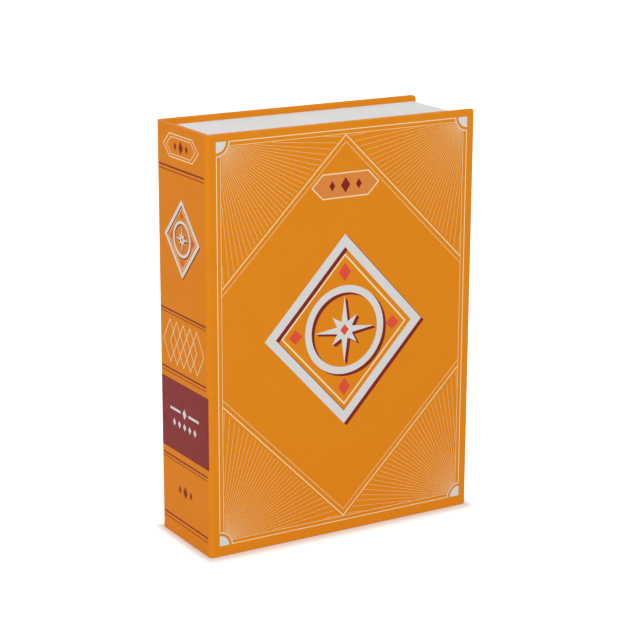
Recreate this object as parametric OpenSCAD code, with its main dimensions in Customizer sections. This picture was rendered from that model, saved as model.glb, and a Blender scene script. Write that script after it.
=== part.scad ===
// Book box: a storage box shaped like a hardback book, standing on its tail edge.
// The origin is the middle of its footprint. X runs from the spine to the fore edge,
// Y from the front cover to the back cover, and Z from the tail to the head.
// The front cover opens like a book's, about an upright line in the paper joint,
// which lies 0.85 mm in from the spine's face and 0.85 mm in from the front face.

/* [Case] */
// Height of the covers, from tail to head
case_h = 250; // [200:1:320]
// Width of the closed case, from the spine's face to the fore edge
case_w = 180; // [140:1:240]
// Thickness of the closed case, over both covers
case_d = 62; // [40:1:90]
// Thickness of the grey board in the covers and the spine
board_t = 2.5; // [2:0.1:4]
// Thickness of the printed paper round the boards
print_t = 0.2; // [0.1:0.05:0.4]
// Width of the printed paper that is turned in over the inside of a board
print_turn_in = 15; // [8:1:25]
// Rounding of the front cover's corners at the fore edge
corner_r = 1.2; // [0.5:0.1:5]
// Rounding of the back cover's corners at the fore edge
back_corner_r = 2.2; // [0.5:0.1:5]
// How far the front cover's fore edge reaches past the back cover's
front_overhang = 2; // [0.5:0.1:5]
// Room between the joint paper and the near edge of the front cover
joint_gap = 0.3; // [0.1:0.05:1]
// Thickness of the paper that lines the case
case_lining_t = 0.2; // [0.1:0.05:0.3]

/* [Tray] */
// Distance of the tray's head and tail behind the covers' edges
square_head = 3.5; // [2:0.1:10]
// Distance of the tray's fore edge behind the back cover's edge
square_fore = 2.2; // [1:0.1:10]
// Thickness of the tray's wall boards
wall_t = 2.5; // [1.5:0.1:5]
// Thickness of the tray's floor board
floor_t = 2; // [1:0.1:4]
// Thickness of the white paper over the tray
page_t = 0.15; // [0.1:0.05:0.4]
// Rounding of the white paper's corners at the fore edge
page_corner_r = 0.4; // [0.2:0.05:0.6]
// Depth of the white paper that is turned in over the tray's rim
page_turn_in = 15; // [5:1:25]
// Thickness of the gummed tape on the tray's corners
stay_t = 0.1; // [0.05:0.01:0.2]
// Width of each leg of the gummed tape
stay_leg = 18; // [8:1:30]
// Thickness of the paper that lines the tray
tray_lining_t = 0.15; // [0.1:0.05:0.4]
// Room between the closed front cover and the tray's rim
lid_gap = 0.3; // [0.2:0.05:1.5]

/* [Closure] */
// Diameter of the magnets in the front cover
magnet_d = 10; // [6:0.5:14]
// Thickness of the magnets
magnet_t = 1.5; // [0.8:0.1:2.2]
// Distance from the front board's fore edge to a magnet's rim
magnet_margin = 3; // [1:0.5:8]
// Distance from the head or the tail of the case to the middle of a magnet
magnet_rise = 55; // [30:1:90]
// Diameter of the steel discs in the tray's fore wall
keeper_d = 10; // [6:0.5:14]
// Thickness of the steel discs
keeper_t = 1.2; // [0.5:0.1:2]
// Distance from the front edge of the fore wall to a steel disc's rim
keeper_margin = 2; // [1:0.5:6]
// Room all round a disc in its pocket
pocket_gap = 0.1; // [0.05:0.05:0.3]

/* [Hidden] */
$fn = 96;

print_colour = "#d8832b";
board_colour = "#8f8b84";
page_colour = "#dddddd";
lining_colour = "#f1efe9";
tape_colour = "#b59a6d";
steel_colour = "#9aa0a6";

// How far a cutting shape runs past the face that it opens
cut = 1;

// Full thickness of a wrapped cover, which is also the outer radius of the paper joints
cover_t = board_t + 2 * print_t;
front_cover_x = cover_t + joint_gap;
back_cover_x = cover_t;

// Distance from the spine's face to the back cover's fore edge
back_w = case_w - front_overhang;

// Inner faces of the back cover, and the tray's rim as it meets the front cover
back_y = case_d - cover_t;
rim_y = cover_t + lid_gap;

// Outer faces of the tray's boards. The gummed tape and the white paper lie over them.
tray_x0 = cover_t + stay_t;
tray_x1 = back_w - square_fore - page_t - stay_t;
tray_z0 = square_head + page_t + stay_t;
tray_z1 = case_h - tray_z0;
wall_y = rim_y + page_t;

// Inner faces of the tray's boards
well_x0 = tray_x0 + wall_t;
well_x1 = tray_x1 - wall_t;
well_z0 = tray_z0 + wall_t;
well_z1 = tray_z1 - wall_t;
well_y = back_y - floor_t;

// Heights of the magnets, which the steel discs share
closure_z = [magnet_rise, case_h - magnet_rise];
magnet_x = case_w - print_t - magnet_margin - magnet_d / 2;
keeper_y = wall_y + keeper_margin + keeper_d / 2;

// Moves what is drawn from the case's front, left, tail corner into the part's frame
module in_case() translate([-case_w / 2, -case_d / 2, 0]) children();

// Turns a front cover's shape into a back cover's
module at_back() translate([0, case_d, 0]) mirror([0, 1, 0]) children();

// A block between two opposite corners
module block(low, high) translate(low) cube(high - low);

// A rectangle between two opposite corners
module panel(low, high) translate(low) square(high - low);

// A shape drawn in X and Z, made thick from y0 to y1
module thick(y0, y1) translate([0, y1, 0]) rotate([90, 0, 0]) linear_extrude(y1 - y0) children();

// A rectangle in X and Z with its two corners at the fore edge rounded
module leaf(low, high, r) {
    panel(low, [high.x - r, high.y]);
    panel([low.x, low.y + r], [high.x, high.y - r]);
    for (z = [low.y + r, high.y - r]) translate([high.x - r, z]) circle(r);
}

// The board of a cover, with its outer face towards the front. The cover runs from x0 to its
// fore edge at x1, where its corners have the radius r.
module cover_board(x0, x1, r)
    thick(print_t, cover_t - print_t)
        leaf([x0, print_t], [x1 - print_t, case_h - print_t], r - print_t);

// The part of a cover's inner face that the turned-in paper leaves bare, from y0 to y1
module cover_window(x0, x1, y0, y1)
    thick(y0, y1)
        panel([x0, print_turn_in], [x1 - print_turn_in, case_h - print_turn_in]);

// The paper round a cover's board, turned in at its head, tail and fore edge
module cover_wrap(x0, x1, r) {
    difference() {
        thick(0, cover_t) leaf([x0, 0], [x1, case_h], r);
        cover_board(x0 - cut, x1, r);
        cover_window(x0 - cut, x1, cover_t / 2, cover_t + cut);
    }
}

// The lining paper in a cover's window
module cover_lining(x0, x1) cover_window(x0, x1, cover_t - print_t, cover_t);

// A quarter-round strip of paper at the front corner of the spine
module joint_strip(outer_r, inner_r) {
    linear_extrude(case_h)
        intersection() {
            translate([cover_t, cover_t])
                difference() {
                    circle(outer_r);
                    circle(inner_r);
                }
            square(cover_t);
        }
}

// The magnets, let into the front board from its inner face, or their pockets with some room
module magnet_discs(room, depth)
    for (z = closure_z)
        translate([magnet_x, cover_t - print_t - magnet_t, z])
            rotate([-90, 0, 0]) cylinder(d = magnet_d + 2 * room, h = depth);

// The steel discs, let into the fore wall from its inner face, or their pockets with some room
module steel_discs(room, ahead)
    for (z = closure_z)
        translate([well_x1 - ahead, keeper_y, z])
            rotate([0, 90, 0]) cylinder(d = keeper_d + 2 * room, h = keeper_t + ahead);

module front_board() {
    color(board_colour) in_case()
        difference() {
            cover_board(front_cover_x, case_w, corner_r);
            magnet_discs(pocket_gap, board_t + cut);
        }
}

module front_wrap() color(print_colour) in_case() cover_wrap(front_cover_x, case_w, corner_r);

module front_lining() color(lining_colour) in_case() cover_lining(front_cover_x, case_w);

module front_magnets() color(steel_colour) in_case() magnet_discs(0, magnet_t);

module front_joint() color(print_colour) in_case() joint_strip(cover_t, cover_t - print_t);

module front_joint_lining()
    color(lining_colour) in_case() joint_strip(cover_t - print_t, cover_t - print_t - case_lining_t);

module back_joint() color(print_colour) in_case() at_back() joint_strip(cover_t, cover_t - print_t);

module back_joint_lining()
    color(lining_colour) in_case() at_back()
        joint_strip(cover_t - print_t, cover_t - print_t - case_lining_t);

module spine_board()
    color(board_colour) in_case()
        block([print_t, cover_t, print_t], [cover_t - print_t, back_y, case_h - print_t]);

module spine_wrap() {
    color(print_colour) in_case()
        difference() {
            block([0, cover_t, 0], [cover_t, back_y, case_h]);
            block([print_t, cover_t - cut, print_t], [cover_t - print_t, back_y + cut, case_h - print_t]);
            block([cover_t / 2, cover_t - cut, print_turn_in],
                  [cover_t + cut, back_y + cut, case_h - print_turn_in]);
        }
}

module spine_lining()
    color(lining_colour) in_case()
        block([cover_t - print_t, cover_t, print_turn_in], [cover_t, back_y, case_h - print_turn_in]);

module back_board()
    color(board_colour) in_case() at_back() cover_board(back_cover_x, back_w, back_corner_r);

module back_wrap()
    color(print_colour) in_case() at_back() cover_wrap(back_cover_x, back_w, back_corner_r);

module back_lining() color(lining_colour) in_case() at_back() cover_lining(back_cover_x, back_w);

module tray_floor()
    color(board_colour) in_case() block([well_x0, well_y, well_z0], [well_x1, back_y, well_z1]);

module head_wall()
    color(board_colour) in_case() block([tray_x0, wall_y, well_z1], [tray_x1, back_y, tray_z1]);

module tail_wall()
    color(board_colour) in_case() block([tray_x0, wall_y, tray_z0], [tray_x1, back_y, well_z0]);

module spine_wall()
    color(board_colour) in_case() block([tray_x0, wall_y, well_z0], [well_x0, back_y, well_z1]);

module fore_wall() {
    color(board_colour) in_case()
        difference() {
            block([well_x1, wall_y, well_z0], [tray_x1, back_y, well_z1]);
            steel_discs(pocket_gap, cut);
        }
}

module keeper_discs() color(steel_colour) in_case() steel_discs(0, 0);

// Gummed tape folded round each of the tray's four upright edges
module corner_stays() {
    color(tape_colour) in_case()
        thick(wall_y, back_y)
            difference() {
                panel([tray_x0 - stay_t, tray_z0 - stay_t], [tray_x1 + stay_t, tray_z1 + stay_t]);
                panel([tray_x0, tray_z0], [tray_x1, tray_z1]);
                panel([tray_x0 + stay_leg, tray_z0 - cut], [tray_x1 - stay_leg, tray_z1 + cut]);
                panel([tray_x0 - cut, tray_z0 + stay_leg], [tray_x1 + cut, tray_z1 - stay_leg]);
            }
}

// The white paper's outline, seen from the front
module page_outline()
    leaf([cover_t, square_head], [back_w - square_fore, case_h - square_head], page_corner_r);

// White paper round the head, fore edge and tail, over the rim and down inside it
module page_wrap() {
    color(page_colour) in_case() {
        thick(rim_y, back_y)
            difference() {
                page_outline();
                panel([cover_t - cut, square_head + page_t],
                      [back_w - square_fore - page_t, case_h - square_head - page_t]);
            }
        thick(rim_y, wall_y)
            difference() {
                page_outline();
                panel([well_x0 + page_t, well_z0 + page_t], [well_x1 - page_t, well_z1 - page_t]);
            }
        thick(rim_y, rim_y + page_turn_in)
            difference() {
                panel([well_x0, well_z0], [well_x1, well_z1]);
                panel([well_x0 + page_t, well_z0 + page_t], [well_x1 - page_t, well_z1 - page_t]);
            }
    }
}

module wall_lining() {
    color(lining_colour) in_case()
        thick(rim_y + page_turn_in, well_y)
            difference() {
                panel([well_x0, well_z0], [well_x1, well_z1]);
                panel([well_x0 + tray_lining_t, well_z0 + tray_lining_t],
                      [well_x1 - tray_lining_t, well_z1 - tray_lining_t]);
            }
}

module floor_lining()
    color(lining_colour) in_case()
        block([well_x0 + tray_lining_t, well_y - tray_lining_t, well_z0 + tray_lining_t],
              [well_x1 - tray_lining_t, well_y, well_z1 - tray_lining_t]);

front_board();
front_wrap();
front_lining();
front_magnets();
front_joint();
front_joint_lining();
spine_board();
spine_wrap();
spine_lining();
back_joint();
back_joint_lining();
back_board();
back_wrap();
back_lining();
tray_floor();
head_wall();
tail_wall();
fore_wall();
spine_wall();
corner_stays();
keeper_discs();
page_wrap();
wall_lining();
floor_lining();
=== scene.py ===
"""A book box, dressed as it looks in a studio: its papers, its print and its light.

The box stands on its tail edge. X runs from the spine to the fore edge, Y from the front cover
to the back cover and Z from the tail to the head. Lengths are in metres. The print is drawn in
millimetres on each face of the case, and then laid on it.
"""
import math

import bmesh
import bpy
from mathutils import Matrix, Vector


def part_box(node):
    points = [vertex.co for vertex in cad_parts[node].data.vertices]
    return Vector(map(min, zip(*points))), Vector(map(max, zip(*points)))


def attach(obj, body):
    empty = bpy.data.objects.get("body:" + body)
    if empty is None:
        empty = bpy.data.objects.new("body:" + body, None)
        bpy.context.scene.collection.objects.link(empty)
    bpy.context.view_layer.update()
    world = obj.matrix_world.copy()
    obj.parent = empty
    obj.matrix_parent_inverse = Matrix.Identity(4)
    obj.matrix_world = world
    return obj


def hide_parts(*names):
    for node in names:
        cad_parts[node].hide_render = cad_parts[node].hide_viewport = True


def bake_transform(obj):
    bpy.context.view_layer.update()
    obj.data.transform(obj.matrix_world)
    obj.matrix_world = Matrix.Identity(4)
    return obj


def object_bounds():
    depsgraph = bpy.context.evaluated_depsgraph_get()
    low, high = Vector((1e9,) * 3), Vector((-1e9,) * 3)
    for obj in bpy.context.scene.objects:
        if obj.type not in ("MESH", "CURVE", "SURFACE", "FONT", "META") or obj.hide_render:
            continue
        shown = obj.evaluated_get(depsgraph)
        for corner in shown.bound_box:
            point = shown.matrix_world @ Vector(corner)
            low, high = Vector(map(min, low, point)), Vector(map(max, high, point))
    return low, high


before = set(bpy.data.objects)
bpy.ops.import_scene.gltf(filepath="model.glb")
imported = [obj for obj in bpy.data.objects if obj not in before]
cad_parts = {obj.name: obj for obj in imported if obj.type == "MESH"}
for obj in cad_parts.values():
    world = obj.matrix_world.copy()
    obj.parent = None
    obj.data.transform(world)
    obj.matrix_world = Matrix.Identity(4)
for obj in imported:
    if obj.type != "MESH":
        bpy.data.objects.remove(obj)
cad_bounds = [list(corner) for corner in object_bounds()]

MM = 0.001

# The case's outer faces, taken from the frame
(LEFT, FRONT, TAIL), (RIGHT, BACK, HEAD) = cad_bounds
CASE_W = (RIGHT - LEFT) / MM
CASE_D = (BACK - FRONT) / MM
CASE_H = (HEAD - TAIL) / MM

# Inner faces of the covers and the spine, and the edges where the covers meet the joints
FRONT_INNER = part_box("front_wrap")[1].y
BACK_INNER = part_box("back_wrap")[0].y
SPINE_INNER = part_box("spine_wrap")[1].x
FRONT_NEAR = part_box("front_wrap")[0].x
BACK_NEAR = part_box("back_wrap")[0].x
BACK_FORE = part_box("back_wrap")[1].x
JOINT_RADIUS = SPINE_INNER - LEFT

# Paper thicknesses and the widths that are turned in
PRINT_PAPER = 0.2 * MM
PAGE_PAPER = 0.15 * MM
LINING_PAPER = 0.12 * MM
TURN_IN = 15 * MM

# Rounding of the covers' fore corners, and of every fold over a board's cut edge
FRONT_CORNER = 1.2 * MM
BACK_CORNER = 2.2 * MM
FOLD_ROUND = 0.5 * MM
PAGE_FOLD_ROUND = 0.4 * MM

# Two faces that meet at more than this angle are seen as an edge
SHARP = math.radians(40)

# How near two places are that count as one
NEAR = 0.01 * MM

# A face this far off the flat sides is in the middle of a fold, on the scale where 45 degrees is 0.29
FULL_TURN = 0.25


# Camera, as the photograph was taken


def look_from(azimuth, elevation, roll, aim, distance, lens):
    """Makes the camera. Azimuth 0 looks along +Y, and the angles are in degrees."""
    around, above, tilt = (math.radians(angle) for angle in (azimuth, elevation, roll))
    level_share = math.cos(above)
    back = Vector(
        (math.sin(around) * level_share, -math.cos(around) * level_share, math.sin(above))
    )
    level = Vector((0, 0, 1)).cross(back).normalized()
    upright = back.cross(level)
    right = level * math.cos(tilt) + upright * math.sin(tilt)
    up = upright * math.cos(tilt) - level * math.sin(tilt)
    camera = bpy.data.objects.new("camera", bpy.data.cameras.new("camera"))
    camera.data.lens = lens
    camera.data.sensor_width = 36
    camera.data.clip_end = 100
    turn = Matrix((right, up, back)).transposed().to_4x4()
    camera.matrix_world = Matrix.Translation(Vector(aim) + back * distance) @ turn
    bpy.context.collection.objects.link(camera)
    bpy.context.scene.camera = camera


look_from(
    azimuth=-31.061,
    elevation=15.5602,
    roll=0.2432,
    aim=(-0.0163, -0.0310, 0.1345),
    distance=1.1796,
    lens=113.6681,
)
bpy.context.scene.view_settings.view_transform = "Standard"


# Materials


def linear(code):
    """The linear colour of an sRGB hex value such as d98324."""
    parts = [int(code[i : i + 2], 16) / 255 for i in (0, 2, 4)]
    curve = [part / 12.92 if part <= 0.04045 else ((part + 0.055) / 1.055) ** 2.4 for part in parts]
    return (*curve, 1)


def add(tree, kind, inputs=None, **settings):
    """Adds a node, sets its properties, and feeds its inputs with values or other nodes' outputs."""
    node = tree.nodes.new(kind)
    for name, value in settings.items():
        setattr(node, name, value)
    for name, value in (inputs or {}).items():
        if isinstance(value, bpy.types.NodeSocket):
            tree.links.new(value, node.inputs[name])
        else:
            node.inputs[name].default_value = value
    return node


def per(millimetres):
    """The texture scale whose pattern repeats about every so many millimetres."""
    return 1 / (millimetres * MM)


def new_material(name):
    """An empty node material, as (material, its node tree, its output node)."""
    material = bpy.data.materials.new(name)
    material.use_nodes = True
    material.node_tree.nodes.clear()
    output = material.node_tree.nodes.new("ShaderNodeOutputMaterial")
    return material, material.node_tree, output


def finish_surface(tree, output, colour, relief, settings):
    """Ends a material in its surface. The relief is (height, strength, depth in millimetres)."""
    height, strength, depth = relief
    bump = add(
        tree,
        "ShaderNodeBump",
        {"Height": height, "Strength": strength, "Distance": depth * MM},
    )
    look = {"Base Color": colour, "Normal": bump.outputs["Normal"], **settings}
    shader = add(tree, "ShaderNodeBsdfPrincipled", look)
    tree.links.new(shader.outputs["BSDF"], output.inputs["Surface"])


# Sockets of a colour Mix node, whose names repeat those of its other kinds
MIX_FACTOR, MIX_FIRST, MIX_SECOND = 0, 6, 7
MIX_COLOUR = 2


# Offset-printed art paper under a matt film. The film gives a soft, even sheen with a faint
# ripple, drawn coarser than it is, and the ink a cloudiness that is hardly seen. Where the sheet is
# folded over a board's edge, it is painted paler in patches: partly the ink stretched and rubbed so
# that the white paper shows through, and partly a painted highlight along the fold.
def matt_film_print(name, ink, deeper, rubbed_and_highlit):
    material, tree, output = new_material(name)
    place = add(tree, "ShaderNodeTexCoord").outputs["Object"]
    cloud = add(tree, "ShaderNodeTexNoise", {"Vector": place, "Scale": per(22), "Detail": 3})
    tone = add(
        tree,
        "ShaderNodeMix",
        {MIX_FACTOR: cloud.outputs["Fac"], MIX_FIRST: linear(ink), MIX_SECOND: linear(deeper)},
        data_type="RGBA",
    )
    fold = add(tree, "ShaderNodeAttribute", attribute_name="fold")
    rub_and_highlight_noise = add(
        tree,
        "ShaderNodeTexNoise",
        {"Vector": place, "Scale": per(4), "Detail": 4, "Roughness": 0.6},
    )
    patches = add(
        tree,
        "ShaderNodeMapRange",
        {
            "Value": rub_and_highlight_noise.outputs["Fac"],
            "From Min": 0.35,
            "From Max": 0.65,
            "To Min": 0.1,
            "To Max": 0.5,
        },
    )
    worn_and_highlit = add(
        tree,
        "ShaderNodeMath",
        {0: fold.outputs["Fac"], 1: patches.outputs["Result"]},
        operation="MULTIPLY",
    )
    # Folds take the paler colour: worn ink and a painted highlight
    colour = add(
        tree,
        "ShaderNodeMix",
        {
            MIX_FACTOR: worn_and_highlit.outputs["Value"],
            MIX_FIRST: tone.outputs[MIX_COLOUR],
            MIX_SECOND: linear(rubbed_and_highlit),
        },
        data_type="RGBA",
    )
    handling = add(tree, "ShaderNodeTexNoise", {"Vector": place, "Scale": per(9), "Detail": 2})
    gloss = add(
        tree,
        "ShaderNodeMapRange",
        {
            "Value": handling.outputs["Fac"],
            "From Min": 0.3,
            "From Max": 0.7,
            "To Min": 0.46,
            "To Max": 0.56,
        },
    )
    ripple = add(tree, "ShaderNodeTexNoise", {"Vector": place, "Scale": per(0.9), "Detail": 2})
    finish_surface(
        tree,
        output,
        colour.outputs[MIX_COLOUR],
        relief=(ripple.outputs["Fac"], 0.35, 0.012),
        settings={"Roughness": gloss.outputs["Result"], "Specular IOR Level": 0.05},
    )
    return material


# Uncoated paper: dull, with fibres that lie every way and a slight tooth, both drawn coarser than
# they are so that they show.
def uncoated_paper(name, sheet, fibre):
    material, tree, output = new_material(name)
    place = add(tree, "ShaderNodeTexCoord").outputs["Object"]
    cloud = add(tree, "ShaderNodeTexNoise", {"Vector": place, "Scale": per(30), "Detail": 2})
    fibres = add(
        tree,
        "ShaderNodeTexNoise",
        {"Vector": place, "Scale": per(0.6), "Detail": 4, "Roughness": 0.65},
    )
    formed = add(
        tree,
        "ShaderNodeMath",
        {0: cloud.outputs["Fac"], 1: fibres.outputs["Fac"]},
        operation="MULTIPLY",
    )
    density = add(
        tree,
        "ShaderNodeMapRange",
        {"Value": formed.outputs["Value"], "From Min": 0.12, "From Max": 0.4},
    )
    colour = add(
        tree,
        "ShaderNodeMix",
        {MIX_FACTOR: density.outputs["Result"], MIX_FIRST: linear(fibre), MIX_SECOND: linear(sheet)},
        data_type="RGBA",
    )
    finish_surface(
        tree,
        output,
        colour.outputs[MIX_COLOUR],
        relief=(fibres.outputs["Fac"], 0.5, 0.02),
        settings={"Roughness": 0.85, "Specular IOR Level": 0.3},
    )
    return material


# Grey bookbinding board, pressed from waste paper: pale and dark flecks of fibre on dull grey.
def grey_board():
    material, tree, output = new_material("pressed_grey_board")
    place = add(tree, "ShaderNodeTexCoord").outputs["Object"]
    flecks = add(
        tree,
        "ShaderNodeTexNoise",
        {"Vector": place, "Scale": per(1.1), "Detail": 5, "Roughness": 0.7},
    )
    contrast = add(
        tree,
        "ShaderNodeMapRange",
        {"Value": flecks.outputs["Fac"], "From Min": 0.35, "From Max": 0.65},
    )
    colour = add(
        tree,
        "ShaderNodeMix",
        {
            MIX_FACTOR: contrast.outputs["Result"],
            MIX_FIRST: linear("7a756c"),
            MIX_SECOND: linear("a39d92"),
        },
        data_type="RGBA",
    )
    finish_surface(
        tree,
        output,
        colour.outputs[MIX_COLOUR],
        relief=(flecks.outputs["Fac"], 0.7, 0.05),
        settings={"Roughness": 0.92},
    )
    return material


# Gummed kraft tape: brown, with long darker fibres along the roll and a slight glaze. The fibres
# are drawn coarser than they are.
def kraft_tape():
    material, tree, output = new_material("gummed_kraft_tape")
    place = add(tree, "ShaderNodeTexCoord").outputs["Object"]
    drawn = add(tree, "ShaderNodeMapping", {"Vector": place, "Scale": (1, 1, 0.2)})
    fibres = add(
        tree,
        "ShaderNodeTexNoise",
        {"Vector": drawn.outputs["Vector"], "Scale": per(0.7), "Detail": 4, "Roughness": 0.7},
    )
    contrast = add(
        tree,
        "ShaderNodeMapRange",
        {"Value": fibres.outputs["Fac"], "From Min": 0.3, "From Max": 0.7},
    )
    colour = add(
        tree,
        "ShaderNodeMix",
        {
            MIX_FACTOR: contrast.outputs["Result"],
            MIX_FIRST: linear("9c7a4c"),
            MIX_SECOND: linear("b8945f"),
        },
        data_type="RGBA",
    )
    finish_surface(
        tree,
        output,
        colour.outputs[MIX_COLOUR],
        relief=(fibres.outputs["Fac"], 0.4, 0.02),
        settings={"Roughness": 0.6},
    )
    return material


# Nickel-plated steel: bright and a little yellow, with the dull bloom of barrel plating.
def nickel_plate():
    material, tree, output = new_material("barrel_plated_nickel")
    place = add(tree, "ShaderNodeTexCoord").outputs["Object"]
    bloom = add(tree, "ShaderNodeTexNoise", {"Vector": place, "Scale": per(1.5), "Detail": 3})
    colour = add(
        tree,
        "ShaderNodeMix",
        {
            MIX_FACTOR: bloom.outputs["Fac"],
            MIX_FIRST: linear("c9c4b8"),
            MIX_SECOND: linear("d8d4ca"),
        },
        data_type="RGBA",
    )
    dulled = add(
        tree,
        "ShaderNodeMapRange",
        {
            "Value": bloom.outputs["Fac"],
            "From Min": 0.3,
            "From Max": 0.7,
            "To Min": 0.22,
            "To Max": 0.4,
        },
    )
    finish_surface(
        tree,
        output,
        colour.outputs[MIX_COLOUR],
        relief=(bloom.outputs["Fac"], 0.2, 0.01),
        settings={"Metallic": 1.0, "Roughness": dulled.outputs["Result"]},
    )
    return material


# Each print ends in the paler colour of its folds, which stands for rubbed ink and a painted
# highlight
ORANGE = matt_film_print("matt_film_orange", "ed901d", "e98c1a", rubbed_and_highlit="f2b468")
# The spine's orange is the covers' one with painted shade, a little darker and redder, for how the
# light falls on the spine
SPINE_SHADED_ORANGE = matt_film_print("matt_film_orange_painted_shade", "eb8a1a", "e78617", rubbed_and_highlit="f2b468")
MAROON = matt_film_print("matt_film_maroon", "8f3636", "8b3434", rubbed_and_highlit="b0706c")
INK_WHITE = matt_film_print("print_bare_white", "e6e6e4", "e2e2e0", rubbed_and_highlit="e6e6e4")
INK_CREAM = matt_film_print("print_cream_lines", "fbeabc", "f8e7b8", rubbed_and_highlit="fbeabc")
INK_MAROON = matt_film_print("print_maroon", "8a2c24", "862a22", rubbed_and_highlit="b0706c")
INK_CORAL = matt_film_print("print_coral", "ea5843", "e65540", rubbed_and_highlit="f09080")
INK_PEACH = matt_film_print("print_peach", "e89045", "e48c42", rubbed_and_highlit="f2b880")
PAGE = uncoated_paper("uncoated_white_page", "f0f0ee", "e9e9e7")
LINING = uncoated_paper("uncoated_lining", "ece9e2", "e6e3db")
BOARD = grey_board()
TAPE = kraft_tape()
NICKEL = nickel_plate()


# Making meshes


def block(mesh, low, high):
    """Adds a box between two opposite corners."""
    low, high = Vector(low), Vector(high)
    corners = bmesh.ops.create_cube(mesh, size=1)["verts"]
    bmesh.ops.scale(mesh, vec=high - low, verts=corners)
    bmesh.ops.translate(mesh, vec=(low + high) / 2, verts=corners)


def lies_at(element, axis, place):
    """Whether all corners of an edge or a face lie at one place along an axis."""
    return all(abs(corner.co[axis] - place) < NEAR for corner in element.verts)


def runs_along(edge, axis):
    """Whether an edge is parallel to an axis."""
    step = edge.verts[1].co - edge.verts[0].co
    return abs(abs(step[axis]) - step.length) < NEAR


def round_edges(mesh, edges, radius, segments):
    """Rounds edges with a given radius."""
    bmesh.ops.bevel(
        mesh,
        geom=edges,
        offset=radius,
        offset_type="OFFSET",
        segments=segments,
        profile=0.5,
        affect="EDGES",
        material=-1,
    )


def cut_faces(mesh, faces, axis, place):
    """Cuts faces in two where they cross a place along an axis."""
    point, normal = Vector((0, 0, 0)), Vector((0, 0, 0))
    point[axis] = place
    normal[axis] = 1
    geometry = set(faces)
    for face in faces:
        geometry.update(face.edges)
        geometry.update(face.verts)
    bmesh.ops.bisect_plane(
        mesh,
        geom=list(geometry),
        dist=NEAR / 10,
        plane_co=point,
        plane_no=normal,
    )


def cut_side(mesh, axis, place, across, cuts):
    """Cuts the faces that lie at a place along one axis, at several places along another axis."""
    for cut in cuts:
        side = [face for face in mesh.faces if lies_at(face, axis, place)]
        cut_faces(mesh, side, across, cut)


def drop_faces(mesh, wanted):
    """Deletes the faces for which wanted(face, its middle) is true."""
    gone = [face for face in mesh.faces if wanted(face, face.calc_center_median())]
    bmesh.ops.delete(mesh, geom=gone, context="FACES")


def mark_folds(mesh, wear_and_highlight=1.0):
    """Marks how far each face turns away from the flat sides, for the paler folds and corners: worn
    ink and a painted highlight.

    The marks are scaled by how much wear and painted highlight the piece's folds take, from 0 to 1.
    """
    layer = mesh.faces.layers.float.new("fold")
    mesh.normal_update()
    for face in mesh.faces:
        turned = 1 - max(abs(part) for part in face.normal)
        face[layer] = min(1, turned / FULL_TURN) * wear_and_highlight


def finish_piece(name, mesh, materials, body=None, stands_for=(), thickness=0.0, smooth=True):
    """Turns a mesh into a named piece with its materials, its paper thickness and its CAD body."""
    data = bpy.data.meshes.new(name)
    for face in mesh.faces:
        face.smooth = smooth
    mesh.to_mesh(data)
    mesh.free()
    piece = bpy.data.objects.new(name, data)
    bpy.context.collection.objects.link(piece)
    for material in materials:
        data.materials.append(material)
    if thickness:
        wall = piece.modifiers.new("paper thickness", "SOLIDIFY")
        wall.thickness = thickness
        wall.offset = -1
        wall.use_even_offset = True
    if smooth:
        even = piece.modifiers.new("even shading", "WEIGHTED_NORMAL")
        even.keep_sharp = True
    if body:
        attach(piece, body)
    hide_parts(*stands_for)
    return piece


# Papers of the case

# The maroon label that is printed across the spine, from its foot to its top, in millimetres
LABEL_FOOT = 53.9
LABEL_TOP = 97.6


def open_end(mesh, axis, place):
    """Opens the end of a paper wrap, where its sheet runs on into a joint."""
    drop_faces(mesh, lambda face, middle: lies_at(face, axis, place))


def cover_paper(near, fore, corner, outer, inner, wear_and_highlight):
    """Printed paper round a cover's board, turned in over its head, fore edge and tail."""
    mesh = bmesh.new()
    block(mesh, (near, min(outer, inner), TAIL), (fore, max(outer, inner), HEAD))
    fore_corners = [edge for edge in mesh.edges if runs_along(edge, 1) and lies_at(edge, 0, fore)]
    round_edges(mesh, fore_corners, corner, segments=8)
    folds = [
        edge
        for edge in mesh.edges
        if (lies_at(edge, 1, outer) or lies_at(edge, 1, inner)) and not lies_at(edge, 0, near)
    ]
    round_edges(mesh, folds, FOLD_ROUND, segments=5)
    cut_side(mesh, 1, inner, 2, (TAIL + TURN_IN, HEAD - TURN_IN))
    cut_side(mesh, 1, inner, 0, (fore - TURN_IN,))
    drop_faces(
        mesh,
        lambda face, middle: lies_at(face, 1, inner)
        and TAIL + TURN_IN < middle.z < HEAD - TURN_IN
        and middle.x < fore - TURN_IN,
    )
    open_end(mesh, 0, near)
    for edge in mesh.edges:
        edge.smooth = not lies_at(edge, 0, near)
    mark_folds(mesh, wear_and_highlight)
    return mesh


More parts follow.
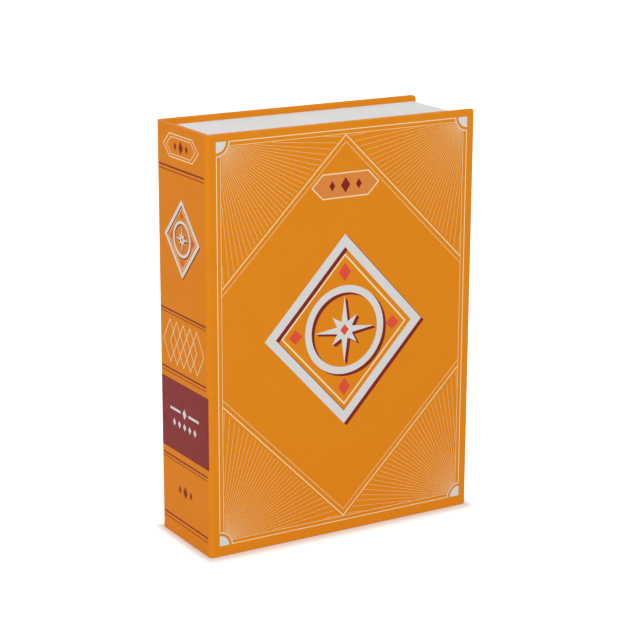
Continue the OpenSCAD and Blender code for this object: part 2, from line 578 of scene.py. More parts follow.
def spine_paper():
    """Printed paper over the spine's board, with the maroon label, turned in at head and tail."""
    foot, top = FRONT + JOINT_RADIUS, BACK - JOINT_RADIUS
    mesh = bmesh.new()
    block(mesh, (LEFT, foot, TAIL), (SPINE_INNER, top, HEAD))
    folds = [edge for edge in mesh.edges if runs_along(edge, 1)]
    round_edges(mesh, folds, FOLD_ROUND, segments=5)
    cut_side(mesh, 0, LEFT, 2, (TAIL + LABEL_FOOT * MM, TAIL + LABEL_TOP * MM))
    cut_side(mesh, 0, SPINE_INNER, 2, (TAIL + TURN_IN, HEAD - TURN_IN))
    drop_faces(
        mesh,
        lambda face, middle: lies_at(face, 0, SPINE_INNER)
        and TAIL + TURN_IN < middle.z < HEAD - TURN_IN,
    )
    open_end(mesh, 1, foot)
    open_end(mesh, 1, top)
    for face in mesh.faces:
        if lies_at(face, 0, LEFT) and in_label(face.calc_center_median().z):
            face.material_index = 1
    for edge in mesh.edges:
        edge.smooth = not (lies_at(edge, 1, foot) or lies_at(edge, 1, top))
    mark_folds(mesh)
    return mesh


def in_label(height):
    """Whether a height above the floor is within the spine's label."""
    return TAIL + LABEL_FOOT * MM < height < TAIL + LABEL_TOP * MM


# The joint paper is folded flat on itself at head and tail, so it is thicker there
JOINT_FOLD = 2 * PRINT_PAPER
# The quarter round is drawn in an odd number of steps, so that its middle one can crease
JOINT_STEPS = 25
# How far round the joint the maroon label is printed
LABEL_REACH = math.radians(30)


def joint_profile():
    """The joint paper's outline at the spine, as (distance in from the face, height)."""
    half = JOINT_FOLD / 2
    arc = [math.radians(180 - angle) for angle in range(0, 181, 30)]
    head = [(half + half * math.cos(a), HEAD - half + half * math.sin(a)) for a in arc]
    inside = [
        (JOINT_FOLD, HEAD - TURN_IN),
        (PRINT_PAPER, HEAD - TURN_IN),
        (PRINT_PAPER, TAIL + TURN_IN),
        (JOINT_FOLD, TAIL + TURN_IN),
    ]
    tail = [(half - half * math.cos(a), TAIL + half - half * math.sin(a)) for a in arc]
    outside = [(0, TAIL + LABEL_FOOT * MM), (0, TAIL + LABEL_TOP * MM)]
    return head + inside + tail + outside


def joint_paper(outline, outer, inner, lip):
    """A quarter-round strip of an outline given at the spine, turned towards a cover's outer face.

    The strip runs on straight by a lip at the cover's side.
    """
    toward = 1 if outer < inner else -1
    start = outer + toward * JOINT_RADIUS
    mesh = bmesh.new()
    corners = [mesh.verts.new((LEFT + deep, start, height)) for deep, height in outline]
    ring = [mesh.edges.new((a, b)) for a, b in zip(corners, corners[1:] + corners[:1])]
    centre = Vector((LEFT + JOINT_RADIUS, start, 0))
    turned = bmesh.ops.spin(
        mesh,
        geom=ring,
        axis=(0, 0, 1),
        cent=centre,
        angle=toward * math.pi / 2,
        steps=JOINT_STEPS,
    )
    last = [item for item in turned["geom_last"] if isinstance(item, bmesh.types.BMEdge)]
    if lip:
        longer = bmesh.ops.extrude_edge_only(mesh, edges=last)["geom"]
        ends = [item for item in longer if isinstance(item, bmesh.types.BMVert)]
        bmesh.ops.translate(mesh, vec=(lip, 0, 0), verts=ends)
        last = [item for item in longer if isinstance(item, bmesh.types.BMEdge) and item.is_boundary]
    bmesh.ops.triangle_fill(mesh, use_beauty=True, edges=ring)
    bmesh.ops.triangle_fill(mesh, use_beauty=True, edges=last)
    bmesh.ops.recalc_face_normals(mesh, faces=mesh.faces)
    for edge in mesh.edges:
        edge.smooth = len(edge.link_faces) == 2 and edge.calc_face_angle(0) < SHARP
    return mesh


def printed_joint(outer, inner, lip):
    """A joint's printed paper, with its second material at the label and its third one inside."""
    mesh = joint_paper(joint_profile(), outer, inner, lip)
    toward = 1 if outer < inner else -1
    for face in mesh.faces:
        middle = face.calc_center_median()
        # The way from the round's centre to the face, towards the spine and towards the cover
        aside = LEFT + JOINT_RADIUS - middle.x
        ahead = JOINT_RADIUS - (middle.y - outer) * toward
        depth = JOINT_RADIUS - math.hypot(max(0, aside), ahead)
        printed = ahead < aside * math.tan(LABEL_REACH) and in_label(middle.z)
        if depth > PRINT_PAPER / 2 and TAIL + JOINT_FOLD < middle.z < HEAD - JOINT_FOLD:
            face.material_index = 2
        elif depth < PRINT_PAPER / 2 and printed:
            face.material_index = 1
    return mesh


# The covers' folds are painted paler, as worn ink and as a painted highlight, fully on the front
# cover and less on the back one
finish_piece(
    "front_cover_paper",
    cover_paper(FRONT_NEAR, RIGHT, FRONT_CORNER, FRONT, FRONT_INNER, wear_and_highlight=1.0),
    [ORANGE],
    body="front_cover",
    stands_for=["front_wrap"],
    thickness=PRINT_PAPER,
)
finish_piece(
    "back_cover_paper",
    cover_paper(BACK_NEAR, BACK_FORE, BACK_CORNER, BACK, BACK_INNER, wear_and_highlight=0.3),
    [ORANGE],
    body="box",
    stands_for=["back_wrap"],
    thickness=PRINT_PAPER,
)
finish_piece(
    "spine_paper",
    spine_paper(),
    [SPINE_SHADED_ORANGE, MAROON],
    body="box",
    stands_for=["spine_wrap"],
    thickness=PRINT_PAPER,
)
finish_piece(
    "back_joint_paper",
    printed_joint(BACK, BACK_INNER, lip=0),
    [ORANGE, MAROON, LINING],
    body="box",
    stands_for=["back_joint"],
)

# The front joint ends in a straight lip at the cover's edge
FRONT_LIP = FRONT_NEAR - LEFT - JOINT_RADIUS


front_joint_paper = finish_piece(
    "front_joint_paper",
    printed_joint(FRONT, FRONT_INNER, lip=FRONT_LIP),
    [ORANGE, MAROON, LINING],
    stands_for=["front_joint"],
)
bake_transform(front_joint_paper)


# Linings

# How far the lining papers stop short of the case's head, fore edge and tail, and how far the
# strips in the joint do
LINING_MARGIN = 4 * MM
JOINT_MARGIN = 0.1 * MM
# Where the lining sinks off the turned-in paper: how far past it, and how deep
LINING_SLOPE = 0.8 * MM
LINING_SINK = 0.1 * MM


def front_endpaper():
    """Lining inside the front cover, over the turn-ins."""
    top = FRONT_INNER + LINING_PAPER
    low, high = TAIL + LINING_MARGIN, HEAD - LINING_MARGIN
    mesh = bmesh.new()
    # It reaches to the middle of the strip over the board's edge, so that no two faces share a plane
    near = FRONT_NEAR - LINING_PAPER / 2
    block(mesh, (near, FRONT, low), (RIGHT - LINING_MARGIN, top, high))
    drop_faces(mesh, lambda face, middle: not lies_at(face, 1, top))
    inset = TURN_IN + LINING_SLOPE
    cut_side(mesh, 1, top, 2, (TAIL + TURN_IN, TAIL + inset, HEAD - inset, HEAD - TURN_IN))
    cut_side(mesh, 1, top, 0, (RIGHT - TURN_IN, RIGHT - inset))
    sunk = [
        corner
        for corner in mesh.verts
        if corner.co.y > top - NEAR
        and corner.co.x < RIGHT - inset + NEAR
        and TAIL + inset - NEAR < corner.co.z < HEAD - inset + NEAR
    ]
    bmesh.ops.translate(mesh, vec=(0, -LINING_SINK, 0), verts=sunk)
    return mesh


# Where the strips over the boards' edges end, this far behind the case's outer faces
STRIP_START = JOINT_FOLD + NEAR


def joint_lining_profile():
    """The joint lining's outline at the spine, as (distance in from the face, height)."""
    outer = STRIP_START
    inner = outer + LINING_PAPER
    low, high = TAIL + JOINT_MARGIN, HEAD - JOINT_MARGIN
    return [(outer, low), (outer, high), (inner, high), (inner, low)]


def edge_strip(low, high):
    """Lining over a board's edge in the joint, between two opposite corners."""
    mesh = bmesh.new()
    block(mesh, (*low, TAIL + JOINT_MARGIN), (*high, HEAD - JOINT_MARGIN))
    upright = [edge for edge in mesh.edges if runs_along(edge, 2)]
    round_edges(mesh, upright, LINING_PAPER / 4, segments=2)
    return mesh


finish_piece(
    "front_endpaper",
    front_endpaper(),
    [LINING],
    body="front_cover",
    stands_for=["front_lining"],
    thickness=LINING_PAPER,
)
EDGE_STRIPS = {
    "front_cover_edge_endpaper": (
        "front_cover",
        (FRONT_NEAR - LINING_PAPER, FRONT + STRIP_START),
        (FRONT_NEAR, FRONT_INNER + LINING_PAPER / 2),
    ),
    "spine_front_edge_endpaper": (
        "box",
        (LEFT + STRIP_START, FRONT + JOINT_RADIUS - LINING_PAPER),
        (SPINE_INNER, FRONT + JOINT_RADIUS),
    ),
    "spine_back_edge_endpaper": (
        "box",
        (LEFT + STRIP_START, BACK - JOINT_RADIUS),
        (SPINE_INNER, BACK - JOINT_RADIUS + LINING_PAPER),
    ),
    "back_cover_edge_endpaper": (
        "box",
        (BACK_NEAR - LINING_PAPER, BACK_INNER),
        (BACK_NEAR, BACK - STRIP_START),
    ),
}
for name, (body, low, high) in EDGE_STRIPS.items():
    finish_piece(name, edge_strip(low, high), [LINING], body=body)

finish_piece(
    "back_joint_endpaper",
    joint_paper(joint_lining_profile(), BACK, BACK_INNER, lip=0),
    [LINING],
    body="box",
    stands_for=["back_joint_lining"],
)
front_joint_endpaper = finish_piece(
    "front_joint_endpaper",
    joint_paper(joint_lining_profile(), FRONT, FRONT_INNER, lip=FRONT_LIP - LINING_PAPER),
    [LINING],
    stands_for=["front_joint_lining"],
)
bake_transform(front_joint_endpaper)


# The tray's white paper


def page_paper():
    """White paper round the tray's head, fore edge and tail, over its rim and down inside it."""
    low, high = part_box("page_wrap")
    well_low, well_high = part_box("tray_floor")
    inner_low = well_low + Vector((PAGE_PAPER, 0, PAGE_PAPER))
    inner_high = well_high - Vector((PAGE_PAPER, 0, PAGE_PAPER))
    mesh = bmesh.new()
    block(mesh, low, high)
    drop_faces(mesh, lambda face, middle: lies_at(face, 0, low.x))
    for axis in (0, 2):
        cut_side(mesh, 1, low.y, axis, (inner_low[axis], inner_high[axis]))
    opening = [
        face
        for face in mesh.faces
        if lies_at(face, 1, low.y)
        and inner_low.x < face.calc_center_median().x < inner_high.x
        and inner_low.z < face.calc_center_median().z < inner_high.z
    ]
    sunk = bmesh.ops.extrude_face_region(mesh, geom=opening)["geom"]
    corners = [item for item in sunk if isinstance(item, bmesh.types.BMVert)]
    bmesh.ops.translate(mesh, vec=(0, TURN_IN, 0), verts=corners)
    bottom = [item for item in sunk if isinstance(item, bmesh.types.BMFace)]
    bmesh.ops.delete(mesh, geom=bottom + opening, context="FACES")
    bmesh.ops.recalc_face_normals(mesh, faces=mesh.faces)
    folds = [
        edge
        for edge in mesh.edges
        if len(edge.link_faces) == 2 and edge.calc_face_angle(0) > SHARP
    ]
    round_edges(mesh, folds, PAGE_FOLD_ROUND, segments=4)
    drop_faces(mesh, lambda face, middle: lies_at(face, 1, high.y))
    return mesh


finish_piece(
    "page_paper",
    page_paper(),
    [PAGE],
    body="box",
    stands_for=["page_wrap"],
    thickness=PAGE_PAPER,
)


# Print

# How far off the middle of the front cover its print lies
PRINT_RIGHT = 0.6 * MM
PRINT_UP = 1.2 * MM


def sheet_on(corner, across, out):
    """The matrix from a face's own millimetres to the frame.

    On a sheet, a place is across and up from the face's lower left corner, as someone who looks
    straight at the face sees it, and out from the paper.
    """
    turn = Matrix((across, (0, 0, 1), out)).transposed().to_4x4()
    return Matrix.Translation(corner) @ turn @ Matrix.Scale(MM, 4)


FRONT_SHEET = sheet_on((LEFT + PRINT_RIGHT, FRONT, TAIL + PRINT_UP), (1, 0, 0), (0, -1, 0))
SPINE_SHEET = sheet_on((LEFT, BACK, TAIL), (0, -1, 0), (-1, 0, 0))
BACK_SHEET = sheet_on(((RIGHT + BACK_FORE) / 2, BACK, TAIL), (-1, 0, 0), (0, 1, 0))

# Ink is modelled far thicker than it is, so that each colour lies clear of what it is printed on
INK_DEPTH = 0.04
SHADE_LIFT = 0.006
FILL_LIFT = 0.012
RAY_LIFT = 0.016
LINE_LIFT = 0.022
TOP_LIFT = 0.03
LIFT_STEP = 0.002


def outline(mesh, points, lift):
    """A flat filled outline."""
    face = mesh.faces.new([mesh.verts.new((across, up, lift)) for across, up in points])
    face.normal_update()
    return face


def stroke(mesh, a, b, width, lift):
    """A straight line of ink from a to b."""
    a, b = Vector(a), Vector(b)
    side = (b - a).orthogonal().normalized() * width / 2
    outline(mesh, [a - side, b - side, b + side, a + side], lift)


def ring(mesh, points, width, lift):
    """A line of ink inside a closed outline, mitred at its corners."""
    face = outline(mesh, points, lift)
    bmesh.ops.inset_region(
        mesh,
        faces=[face],
        thickness=width,
        use_boundary=True,
        use_even_offset=True,
    )
    bmesh.ops.delete(mesh, geom=[face], context="FACES")


def arc_band(mesh, centre, inner, outer, start, sweep, lift, steps=16):
    """A curved band of ink, or a sector where inner is 0. Its angles are in degrees."""
    turn = Matrix.Rotation(math.radians(start), 4, "Z")
    place = Matrix.Translation((*centre, lift)) @ turn
    ends = [mesh.verts.new(place @ Vector((radius, 0, 0))) for radius in (inner, outer)]
    bmesh.ops.spin(
        mesh,
        geom=[mesh.edges.new(ends)],
        axis=(0, 0, 1),
        cent=(*centre, lift),
        angle=math.radians(sweep),
        steps=steps,
        use_merge=sweep == 360,
    )


def lozenge_points(centre, half_w, half_h):
    """The corners of an upright lozenge."""
    x, y = centre
    return [(x - half_w, y), (x, y - half_h), (x + half_w, y), (x, y + half_h)]


def lozenge(mesh, centre, half_size, scale=1, lift=TOP_LIFT):
    """A filled upright lozenge, whose half width and half height are scaled."""
    half_w, half_h = half_size
    outline(mesh, lozenge_points(centre, half_w * scale, half_h * scale), lift)


def three_lozenges(mesh, centre, pitch, middle, side):
    """A lozenge between two smaller ones, given by their half sizes."""
    x, y = centre
    lozenge(mesh, centre, middle)
    lozenge(mesh, (x - pitch, y), side)
    lozenge(mesh, (x + pitch, y), side)


def hexagon_points(centre, half_w, half_h, shoulder):
    """The corners of a long hexagon with a point at each side, as deep as its shoulder."""
    x, y = centre
    flat = half_w - shoulder
    return [
        (x - half_w, y),
        (x - flat, y - half_h),
        (x + flat, y - half_h),
        (x + half_w, y),
        (x + flat, y + half_h),
        (x - flat, y + half_h),
    ]


def print_piece(name, mesh, ink, sheet, body):
    """Lays a drawn mesh on a face of the case as a thin printed layer."""
    bmesh.ops.remove_doubles(mesh, verts=mesh.verts, dist=LIFT_STEP / 4)
    bmesh.ops.recalc_face_normals(mesh, faces=mesh.faces)
    facing_in = [face for face in mesh.faces if face.normal.z < 0]
    bmesh.ops.reverse_faces(mesh, faces=facing_in)
    bottoms = bmesh.ops.extrude_face_region(mesh, geom=mesh.faces, use_keep_orig=True)["geom"]
    corners = [item for item in bottoms if isinstance(item, bmesh.types.BMVert)]
    bmesh.ops.translate(mesh, vec=(0, 0, -INK_DEPTH), verts=corners)
    bmesh.ops.recalc_face_normals(mesh, faces=mesh.faces)
    bmesh.ops.transform(mesh, matrix=sheet, verts=mesh.verts)
    return finish_piece(name, mesh, [ink], body=body, smooth=False)


# Ornament of the covers

# Distance of the frame's outer line from the cover's edge, and the widths of both frame lines
FRAME_INSET = 5.4
FRAME_LINE = 0.52
FRAME_INNER_INSET = 8.0
FRAME_INNER_LINE = 0.28
# The middle of the front print
EMBLEM_CENTRE = (CASE_W / 2, CASE_H / 2)

# Rounds at the frame's corners: a filled quarter disc, and the quarter ring round it
CORNER_DISC = 6.3
CORNER_RING = 8.7
CORNER_RING_LINE = 0.7

# Chevrons at head and tail, with slopes of 45 degrees: a bold line, and a thin one inside it. The
# bold one's point touches the frame's inner line.
CHEVRON_INSET = 8.2
CHEVRON_LINE = 0.6
CHEVRON_GAP = 3.0
CHEVRON_THIN_LINE = 0.26

# The rays that fan out from the frame's corners to the chevrons
RAYS = 32
RAY_LINE = 0.15
RAY_START = 9.0
RAY_GAP = 1.2
# Room between the frame's inner line and the places where the lowest rays start
RAY_CLEAR = 0.5


def frame_corners():
    """The frame's corners, each with the ways along its foot or top and along its side."""
    for x, along in ((FRAME_INSET, 1), (CASE_W - FRAME_INSET, -1)):
        for y, upward in ((FRAME_INSET, 1), (CASE_H - FRAME_INSET, -1)):
            yield Vector((x, y)), along, upward


def frame_lines(mesh):
    """The double frame, which stops at the quarter rings of its corners."""
    for inset, width in ((FRAME_INSET, FRAME_LINE), (FRAME_INNER_INSET, FRAME_INNER_LINE)):
        middle = inset + width / 2
        rise = math.sqrt(CORNER_RING**2 - (middle - FRAME_INSET) ** 2)
        clear = FRAME_INSET + rise - CORNER_RING_LINE / 2
        for y in (middle, CASE_H - middle):
            stroke(mesh, (clear, y), (CASE_W - clear, y), width, LINE_LIFT)
        for x in (middle, CASE_W - middle):
            stroke(mesh, (x, clear), (x, CASE_H - clear), width, LINE_LIFT)


def corner_rounds(mesh):
    """The quarter disc and the quarter ring at each corner of the frame."""
    inner = CORNER_RING - CORNER_RING_LINE
    for centre, along, upward in frame_corners():
        start = {(1, 1): 0, (-1, 1): 90, (-1, -1): 180, (1, -1): 270}[along, upward]
        arc_band(mesh, centre, 0, CORNER_DISC, start, 90, TOP_LIFT)
        arc_band(mesh, centre, inner, CORNER_RING, start, 90, TOP_LIFT + LIFT_STEP)


def chevrons(mesh, gap, width, lift):
    """A chevron at the head and one at the tail, a gap inside the frame's inner line."""
    reach = CASE_W / 2 - CHEVRON_INSET
    tip = CASE_H / 2 - CHEVRON_INSET - gap * math.sqrt(2)
    middle = Vector(EMBLEM_CENTRE)
    for upward in (1, -1):
        outer = [(-reach, tip - reach), (0, tip), (reach, tip - reach)]
        inner = [(across, up - width * math.sqrt(2)) for across, up in reversed(outer)]
        outline(mesh, [middle + Vector((across, up * upward)) for across, up in outer + inner], lift)


def corner_rays(mesh):
    """Rays from each corner of the frame to the chevrons."""
    slope = CASE_W / 2 + CHEVRON_INSET - 2 * FRAME_INSET - RAY_GAP * math.sqrt(2)
    clear = FRAME_INNER_INSET + FRAME_INNER_LINE + RAY_CLEAR - FRAME_INSET
    for centre, along, upward in frame_corners():
        for number in range(1, RAYS + 1):
            angle = math.radians(90 * number / (RAYS + 1))
            way = Vector((along * math.cos(angle), upward * math.sin(angle)))
            start = max(RAY_START, clear / math.cos(angle), clear / math.sin(angle))
            reach = slope / (math.cos(angle) + math.sin(angle))
            stroke(mesh, centre + way * start, centre + way * reach, RAY_LINE, RAY_LIFT)


# The emblem, at the size that it has on the front cover
EMBLEM_HALF_W = 54
EMBLEM_HALF_H = 58
EMBLEM_BAND = 5.4
EMBLEM_LINE_INSET = 8.0
EMBLEM_LINE = 1.0
EMBLEM_RING = 27
EMBLEM_RING_BAND = 4.4
STAR_STEPS = 16
STAR_LONG = 20.5
STAR_SHORT = 12.0
STAR_WAIST = 5.4
EMBLEM_SHADE = Vector((2.0, -1.6))
SHADE_COPIES = 4

# The emblem's accents: how far out the lozenges above and below the ring lie, and those beside it,
# and the half width and half height of each kind
ACCENT_UP = 35
ACCENT_ASIDE = 33.4
UPPER_ACCENT = (4.2, 5.6)
SIDE_ACCENT = (4.6, 4.4)
STAR_ACCENT = (3, 3.4)


def star_points(centre, scale):
    """An eight-pointed star with four long and four short points."""
    x, y = centre
    points = []
    for step in range(STAR_STEPS):
        radius = {0: STAR_LONG, 2: STAR_SHORT}.get(step % 4, STAR_WAIST) * scale
        angle = math.radians(360 / STAR_STEPS * step)
        points.append((x + radius * math.cos(angle), y + radius * math.sin(angle)))
    return points


def emblem_body(mesh, centre, scale, lift):
    """The emblem's white shapes: a lozenge band, a ring and a star."""
    x, y = centre
    band = lozenge_points((x, y), EMBLEM_HALF_W * scale, EMBLEM_HALF_H * scale)
    ring(mesh, band, EMBLEM_BAND * scale, lift)
    inner = (EMBLEM_RING - EMBLEM_RING_BAND) * scale
    arc_band(mesh, (x, y), inner, EMBLEM_RING * scale, 0, 360, lift, steps=64)
    outline(mesh, star_points((x, y), scale), lift)


def emblem_line(mesh, centre, scale, lift):
    """The thin lozenge inside the emblem's band."""
    slant = math.hypot(EMBLEM_HALF_W, EMBLEM_HALF_H)
    height = EMBLEM_HALF_W * EMBLEM_HALF_H / slant
    share = (height - EMBLEM_LINE_INSET) / height * scale
    points = lozenge_points(centre, EMBLEM_HALF_W * share, EMBLEM_HALF_H * share)
    ring(mesh, points, EMBLEM_LINE * scale, lift)


def emblem_shade(mesh, centre, scale):
    """The emblem's drop shade: its body, moved down and right in small steps."""
    for copy in range(1, SHADE_COPIES + 1):
        moved = Vector(centre) + EMBLEM_SHADE * scale * copy / SHADE_COPIES
        emblem_body(mesh, moved, scale, SHADE_LIFT - copy * LIFT_STEP / 2)


def emblem_accents(mesh, centre, scale):
    """Four coral lozenges between the emblem's ring and its thin line, and one in the star."""
    x, y = centre
    for side in (-1, 1):
        lozenge(mesh, (x, y + side * ACCENT_UP * scale), UPPER_ACCENT, scale)
        lozenge(mesh, (x + side * ACCENT_ASIDE * scale, y), SIDE_ACCENT, scale)
    lozenge(mesh, centre, STAR_ACCENT, scale, TOP_LIFT + LIFT_STEP)


# The plate above the emblem, and the three lozenges on it
PLATE_CENTRE = (CASE_W / 2, 212)
PLATE_HALF_W = 23
PLATE_HALF_H = 7.5
PLATE_SHOULDER = 7.5
PLATE_LINE = 0.7
PLATE_PITCH = 9
PLATE_LOZENGE = (3.2, 4.6)
PLATE_SIDE_LOZENGE = (2.0, 3.0)

front_lines = bmesh.new()
frame_lines(front_lines)
chevrons(front_lines, 0, CHEVRON_LINE, LINE_LIFT + LIFT_STEP)
chevrons(front_lines, CHEVRON_GAP, CHEVRON_THIN_LINE, LINE_LIFT - LIFT_STEP)
corner_rays(front_lines)
emblem_line(front_lines, EMBLEM_CENTRE, 1, LINE_LIFT)
plate = hexagon_points(PLATE_CENTRE, PLATE_HALF_W, PLATE_HALF_H, PLATE_SHOULDER)
ring(front_lines, plate, PLATE_LINE, LINE_LIFT)
print_piece("front_print_lines", front_lines, INK_CREAM, FRONT_SHEET, "front_cover")

front_white = bmesh.new()
corner_rounds(front_white)
emblem_body(front_white, EMBLEM_CENTRE, 1, TOP_LIFT)
print_piece("front_print_emblem", front_white, INK_WHITE, FRONT_SHEET, "front_cover")

front_maroon = bmesh.new()
emblem_shade(front_maroon, EMBLEM_CENTRE, 1)
three_lozenges(front_maroon, PLATE_CENTRE, PLATE_PITCH, PLATE_LOZENGE, PLATE_SIDE_LOZENGE)
print_piece("front_print_shade", front_maroon, INK_MAROON, FRONT_SHEET, "front_cover")

front_coral = bmesh.new()
emblem_accents(front_coral, EMBLEM_CENTRE, 1)
print_piece("front_print_accents", front_coral, INK_CORAL, FRONT_SHEET, "front_cover")

front_peach = bmesh.new()
outline(front_peach, plate, FILL_LIFT)
print_piece("front_print_plate", front_peach, INK_PEACH, FRONT_SHEET, "front_cover")


# Ornament of the spine

# Heights of the double maroon rules, as (thick rule, thin rule)
SPINE_RULES = ((225.2, 222.9), (139.6, 137.6), (103.6, 101.3), (49.4, 47.2), (11.7, 9.0))
RULE_MARGIN = 3.0
RULE_THICK = 1.0
RULE_THIN = 0.5
SPINE_MIDDLE = CASE_D / 2

# The row of interlaced lozenges
CHAIN_HEIGHT = 121
CHAIN_LINKS = 5
CHAIN_PITCH = 8.4
CHAIN_HALF_W = 8.6
CHAIN_HALF_H = 13.5
CHAIN_LINE = 0.5

SPINE_EMBLEM = (SPINE_MIDDLE, 185)
SPINE_EMBLEM_SCALE = 0.4

# The two lines of the spine's plate, as (half width, half height, shoulder, line)
SPINE_PLATE = (SPINE_MIDDLE, 238)
SPINE_PLATE_LINES = ((22, 7, 8, 0.6), (18, 5.2, 6, 0.45))

# The three lozenges on the plate, which stand again near the foot
SPINE_FOOT = (SPINE_MIDDLE, 31)
SPINE_PITCH = 7
SPINE_LOZENGE = (2.6, 4.0)
SPINE_SIDE_LOZENGE = (1.6, 2.6)

# The label's two rows, this far above and below its middle: two bars beside a lozenge, and five
# smaller lozenges
LABEL_ROW = 4
LABEL_BAR_START = 5
LABEL_BAR = 13
LABEL_BAR_LINE = 1.6
LABEL_LOZENGE = (2.4, 3.2)
LABEL_PITCH = 6.5
LABEL_SMALL_LOZENGE = (1.8, 2.4)


def label_rows(mesh):
    """The two rows of ornament on the spine's label."""
    middle = (LABEL_FOOT + LABEL_TOP) / 2
    upper, lower = middle + LABEL_ROW, middle - LABEL_ROW
    for side in (-1, 1):
        start = SPINE_MIDDLE + side * LABEL_BAR_START
        stroke(mesh, (start, upper), (start + side * LABEL_BAR, upper), LABEL_BAR_LINE, TOP_LIFT)
    for place in (-2, -1, 0, 1, 2):
        lozenge(mesh, (SPINE_MIDDLE + place * LABEL_PITCH, lower), LABEL_SMALL_LOZENGE)
    lozenge(mesh, (SPINE_MIDDLE, upper), LABEL_LOZENGE)


spine_lines = bmesh.new()
for link in range(CHAIN_LINKS):
    offset = (link - (CHAIN_LINKS - 1) / 2) * CHAIN_PITCH
    points = lozenge_points((SPINE_MIDDLE + offset, CHAIN_HEIGHT), CHAIN_HALF_W, CHAIN_HALF_H)
    ring(spine_lines, points, CHAIN_LINE, RAY_LIFT + (link % 2) * LIFT_STEP)
for half_w, half_h, shoulder, width in SPINE_PLATE_LINES:
    ring(spine_lines, hexagon_points(SPINE_PLATE, half_w, half_h, shoulder), width, LINE_LIFT)
emblem_line(spine_lines, SPINE_EMBLEM, SPINE_EMBLEM_SCALE, LINE_LIFT)
print_piece("spine_print_lines", spine_lines, INK_CREAM, SPINE_SHEET, "box")

spine_white = bmesh.new()
emblem_body(spine_white, SPINE_EMBLEM, SPINE_EMBLEM_SCALE, TOP_LIFT)
label_rows(spine_white)
print_piece("spine_print_emblem", spine_white, INK_WHITE, SPINE_SHEET, "box")

spine_maroon = bmesh.new()
emblem_shade(spine_maroon, SPINE_EMBLEM, SPINE_EMBLEM_SCALE)
for thick, thin in SPINE_RULES:
    for height, width in ((thick, RULE_THICK), (thin, RULE_THIN)):
        stroke(spine_maroon, (RULE_MARGIN, height), (CASE_D - RULE_MARGIN, height), width, LINE_LIFT)
for centre in (SPINE_PLATE, SPINE_FOOT):
    three_lozenges(spine_maroon, centre, SPINE_PITCH, SPINE_LOZENGE, SPINE_SIDE_LOZENGE)
print_piece("spine_print_rules", spine_maroon, INK_MAROON, SPINE_SHEET, "box")

spine_coral = bmesh.new()
emblem_accents(spine_coral, SPINE_EMBLEM, SPINE_EMBLEM_SCALE)
print_piece("spine_print_accents", spine_coral, INK_CORAL, SPINE_SHEET, "box")


# Ornament of the back cover

# The double lozenge in its middle, as (half width, half height, line)
BACK_LOZENGES = ((22, 24, 0.7), (18, 19.6, 0.4))

back_lines = bmesh.new()
frame_lines(back_lines)
for half_w, half_h, width in BACK_LOZENGES:
    ring(back_lines, lozenge_points(EMBLEM_CENTRE, half_w, half_h), width, LINE_LIFT)
print_piece("back_print_lines", back_lines, INK_CREAM, BACK_SHEET, "box")

back_white = bmesh.new()
corner_rounds(back_white)
print_piece("back_print_corners", back_white, INK_WHITE, BACK_SHEET, "box")


# Finishes of the pieces that keep the shape that they have in the frame

NODE_FINISH = {
    "front_board": BOARD,
    "spine_board": BOARD,
    "back_board": BOARD,
    "tray_floor": BOARD,
    "head_wall": BOARD,
    "tail_wall": BOARD,
    "fore_wall": BOARD,
    "spine_wall": BOARD,
    "spine_lining": LINING,
    "back_lining": LINING,
    "wall_lining": LINING,
    "floor_lining": LINING,
    "corner_stays": TAPE,
    "front_magnets": NICKEL,
    "keeper_discs": NICKEL,
}
for node, material in NODE_FINISH.items():
    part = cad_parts[node]
    for place in part.material_slots:
        place.material = material


# Studio

# The surround is white where it is seen, and this strong where it lights the box
WORLD_LIGHT = 0.7

# The floor's side in metres, its paint, and the glow that makes it white where it is seen
FLOOR_SIZE = 14
FLOOR_PAINT = (0.8, 0.8, 0.8, 1)
FLOOR_GLOW = 0.75
WHITE = (1, 1, 1, 1)

# The glow fades to this strength at the box's foot, which paints a shadow round the foot on top of
# the real contact shadow. It is whole this far from the spine and the front cover, and this far from
# the fore edge and the back cover.
GLOW_AT_FOOT = 0.1
GLOW_RISE_LOW = (9 * MM, 15.5 * MM, 1)
GLOW_RISE_HIGH = (9 * MM, 7 * MM, 1)


def seen_directly(tree):
    """1 where the camera, a reflection or a view through glass meets a surface, and 0 elsewhere."""
    path = add(tree, "ShaderNodeLightPath")
    seen = path.outputs["Is Camera Ray"]
    for ray in ("Is Glossy Ray", "Is Transmission Ray"):
        either = add(tree, "ShaderNodeMath", {0: seen, 1: path.outputs[ray]}, operation="MAXIMUM")
        seen = either.outputs["Value"]
    return seen


def studio_world():
    """A white surround that lights the box softly."""
    world = bpy.data.worlds.new("white_surround")
    world.use_nodes = True
    tree = world.node_tree
    tree.nodes.clear()
    strength = add(
        tree,
        "ShaderNodeMapRange",
        {"Value": seen_directly(tree), "To Min": WORLD_LIGHT, "To Max": 1.0},
    ).outputs["Result"]
    glow = add(tree, "ShaderNodeBackground", {"Color": WHITE, "Strength": strength})
    output = tree.nodes.new("ShaderNodeOutputWorld")
    tree.links.new(glow.outputs["Background"], output.inputs["Surface"])
    bpy.context.scene.world = world


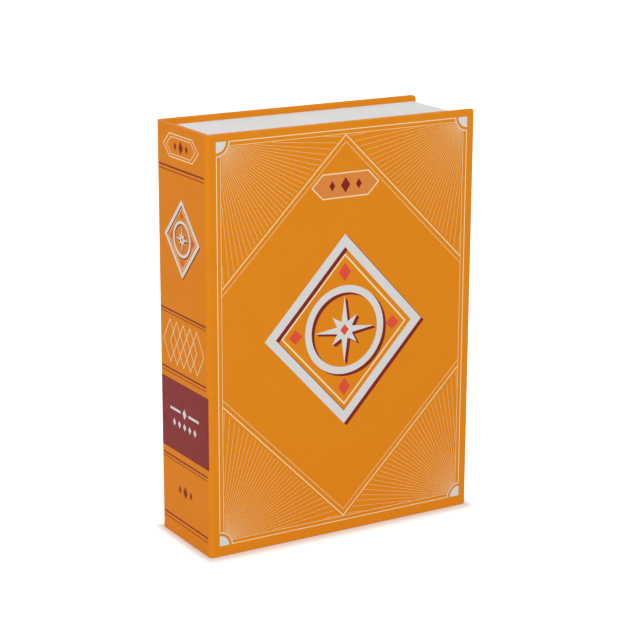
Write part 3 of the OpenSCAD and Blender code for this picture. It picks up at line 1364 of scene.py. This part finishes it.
def studio_floor():
    """A pale floor that holds the box's shadow, paints more shadow round its foot where its glow
    fades, and reads white away from it.
    """
    mesh = bmesh.new()
    bmesh.ops.create_grid(mesh, x_segments=1, y_segments=1, size=FLOOR_SIZE / 2)
    data = bpy.data.meshes.new("floor")
    mesh.to_mesh(data)
    mesh.free()
    floor = bpy.data.objects.new("floor", data)
    bpy.context.collection.objects.link(floor)
    material, tree, output = new_material("matt_white_floor")
    paint = add(tree, "ShaderNodeBsdfDiffuse", {"Color": FLOOR_PAINT})
    place = add(tree, "ShaderNodeTexCoord").outputs["Object"]
    low, high = (LEFT, FRONT, 0), (RIGHT, BACK, 0)
    # How far a place lies outside the box's foot along each axis, as shares of the glow's rise
    shares = []
    for start, end, rise in ((place, low, GLOW_RISE_LOW), (high, place, GLOW_RISE_HIGH)):
        way = add(tree, "ShaderNodeVectorMath", {0: end, 1: start}, operation="SUBTRACT")
        ahead = {0: way.outputs["Vector"], 1: (0, 0, 0)}
        outside = add(tree, "ShaderNodeVectorMath", ahead, operation="MAXIMUM")
        part = {0: outside.outputs["Vector"], 1: rise}
        share = add(tree, "ShaderNodeVectorMath", part, operation="DIVIDE")
        shares.append(share.outputs["Vector"])
    both_sides = add(tree, "ShaderNodeVectorMath", dict(enumerate(shares)), operation="ADD")
    distance = add(
        tree,
        "ShaderNodeVectorMath",
        {0: both_sides.outputs["Vector"]},
        operation="LENGTH",
    )
    # The fading glow paints a shadow round the box's foot
    strength = add(
        tree,
        "ShaderNodeMapRange",
        {"Value": distance.outputs["Value"], "To Min": GLOW_AT_FOOT, "To Max": FLOOR_GLOW},
        interpolation_type="SMOOTHSTEP",
    )
    seen = add(
        tree,
        "ShaderNodeMath",
        {0: seen_directly(tree), 1: strength.outputs["Result"]},
        operation="MULTIPLY",
    )
    glow = add(tree, "ShaderNodeEmission", {"Color": WHITE, "Strength": seen.outputs["Value"]})
    both = add(tree, "ShaderNodeAddShader", {0: paint.outputs["BSDF"], 1: glow.outputs["Emission"]})
    tree.links.new(both.outputs["Shader"], output.inputs["Surface"])
    data.materials.append(material)


def soft_light(name, place, aim, size, power):
    """A square soft box that faces a point."""
    lamp = bpy.data.lights.new(name, "AREA")
    lamp.size = size
    lamp.energy = power
    holder = bpy.data.objects.new(name, lamp)
    holder.location = place
    holder.rotation_euler = (Vector(aim) - Vector(place)).to_track_quat("-Z", "Y").to_euler()
    bpy.context.collection.objects.link(holder)


studio_world()
studio_floor()
soft_light("key", place=(-1.3, -1.6, 1.5), aim=(0, 0, 0.12), size=1.8, power=17)
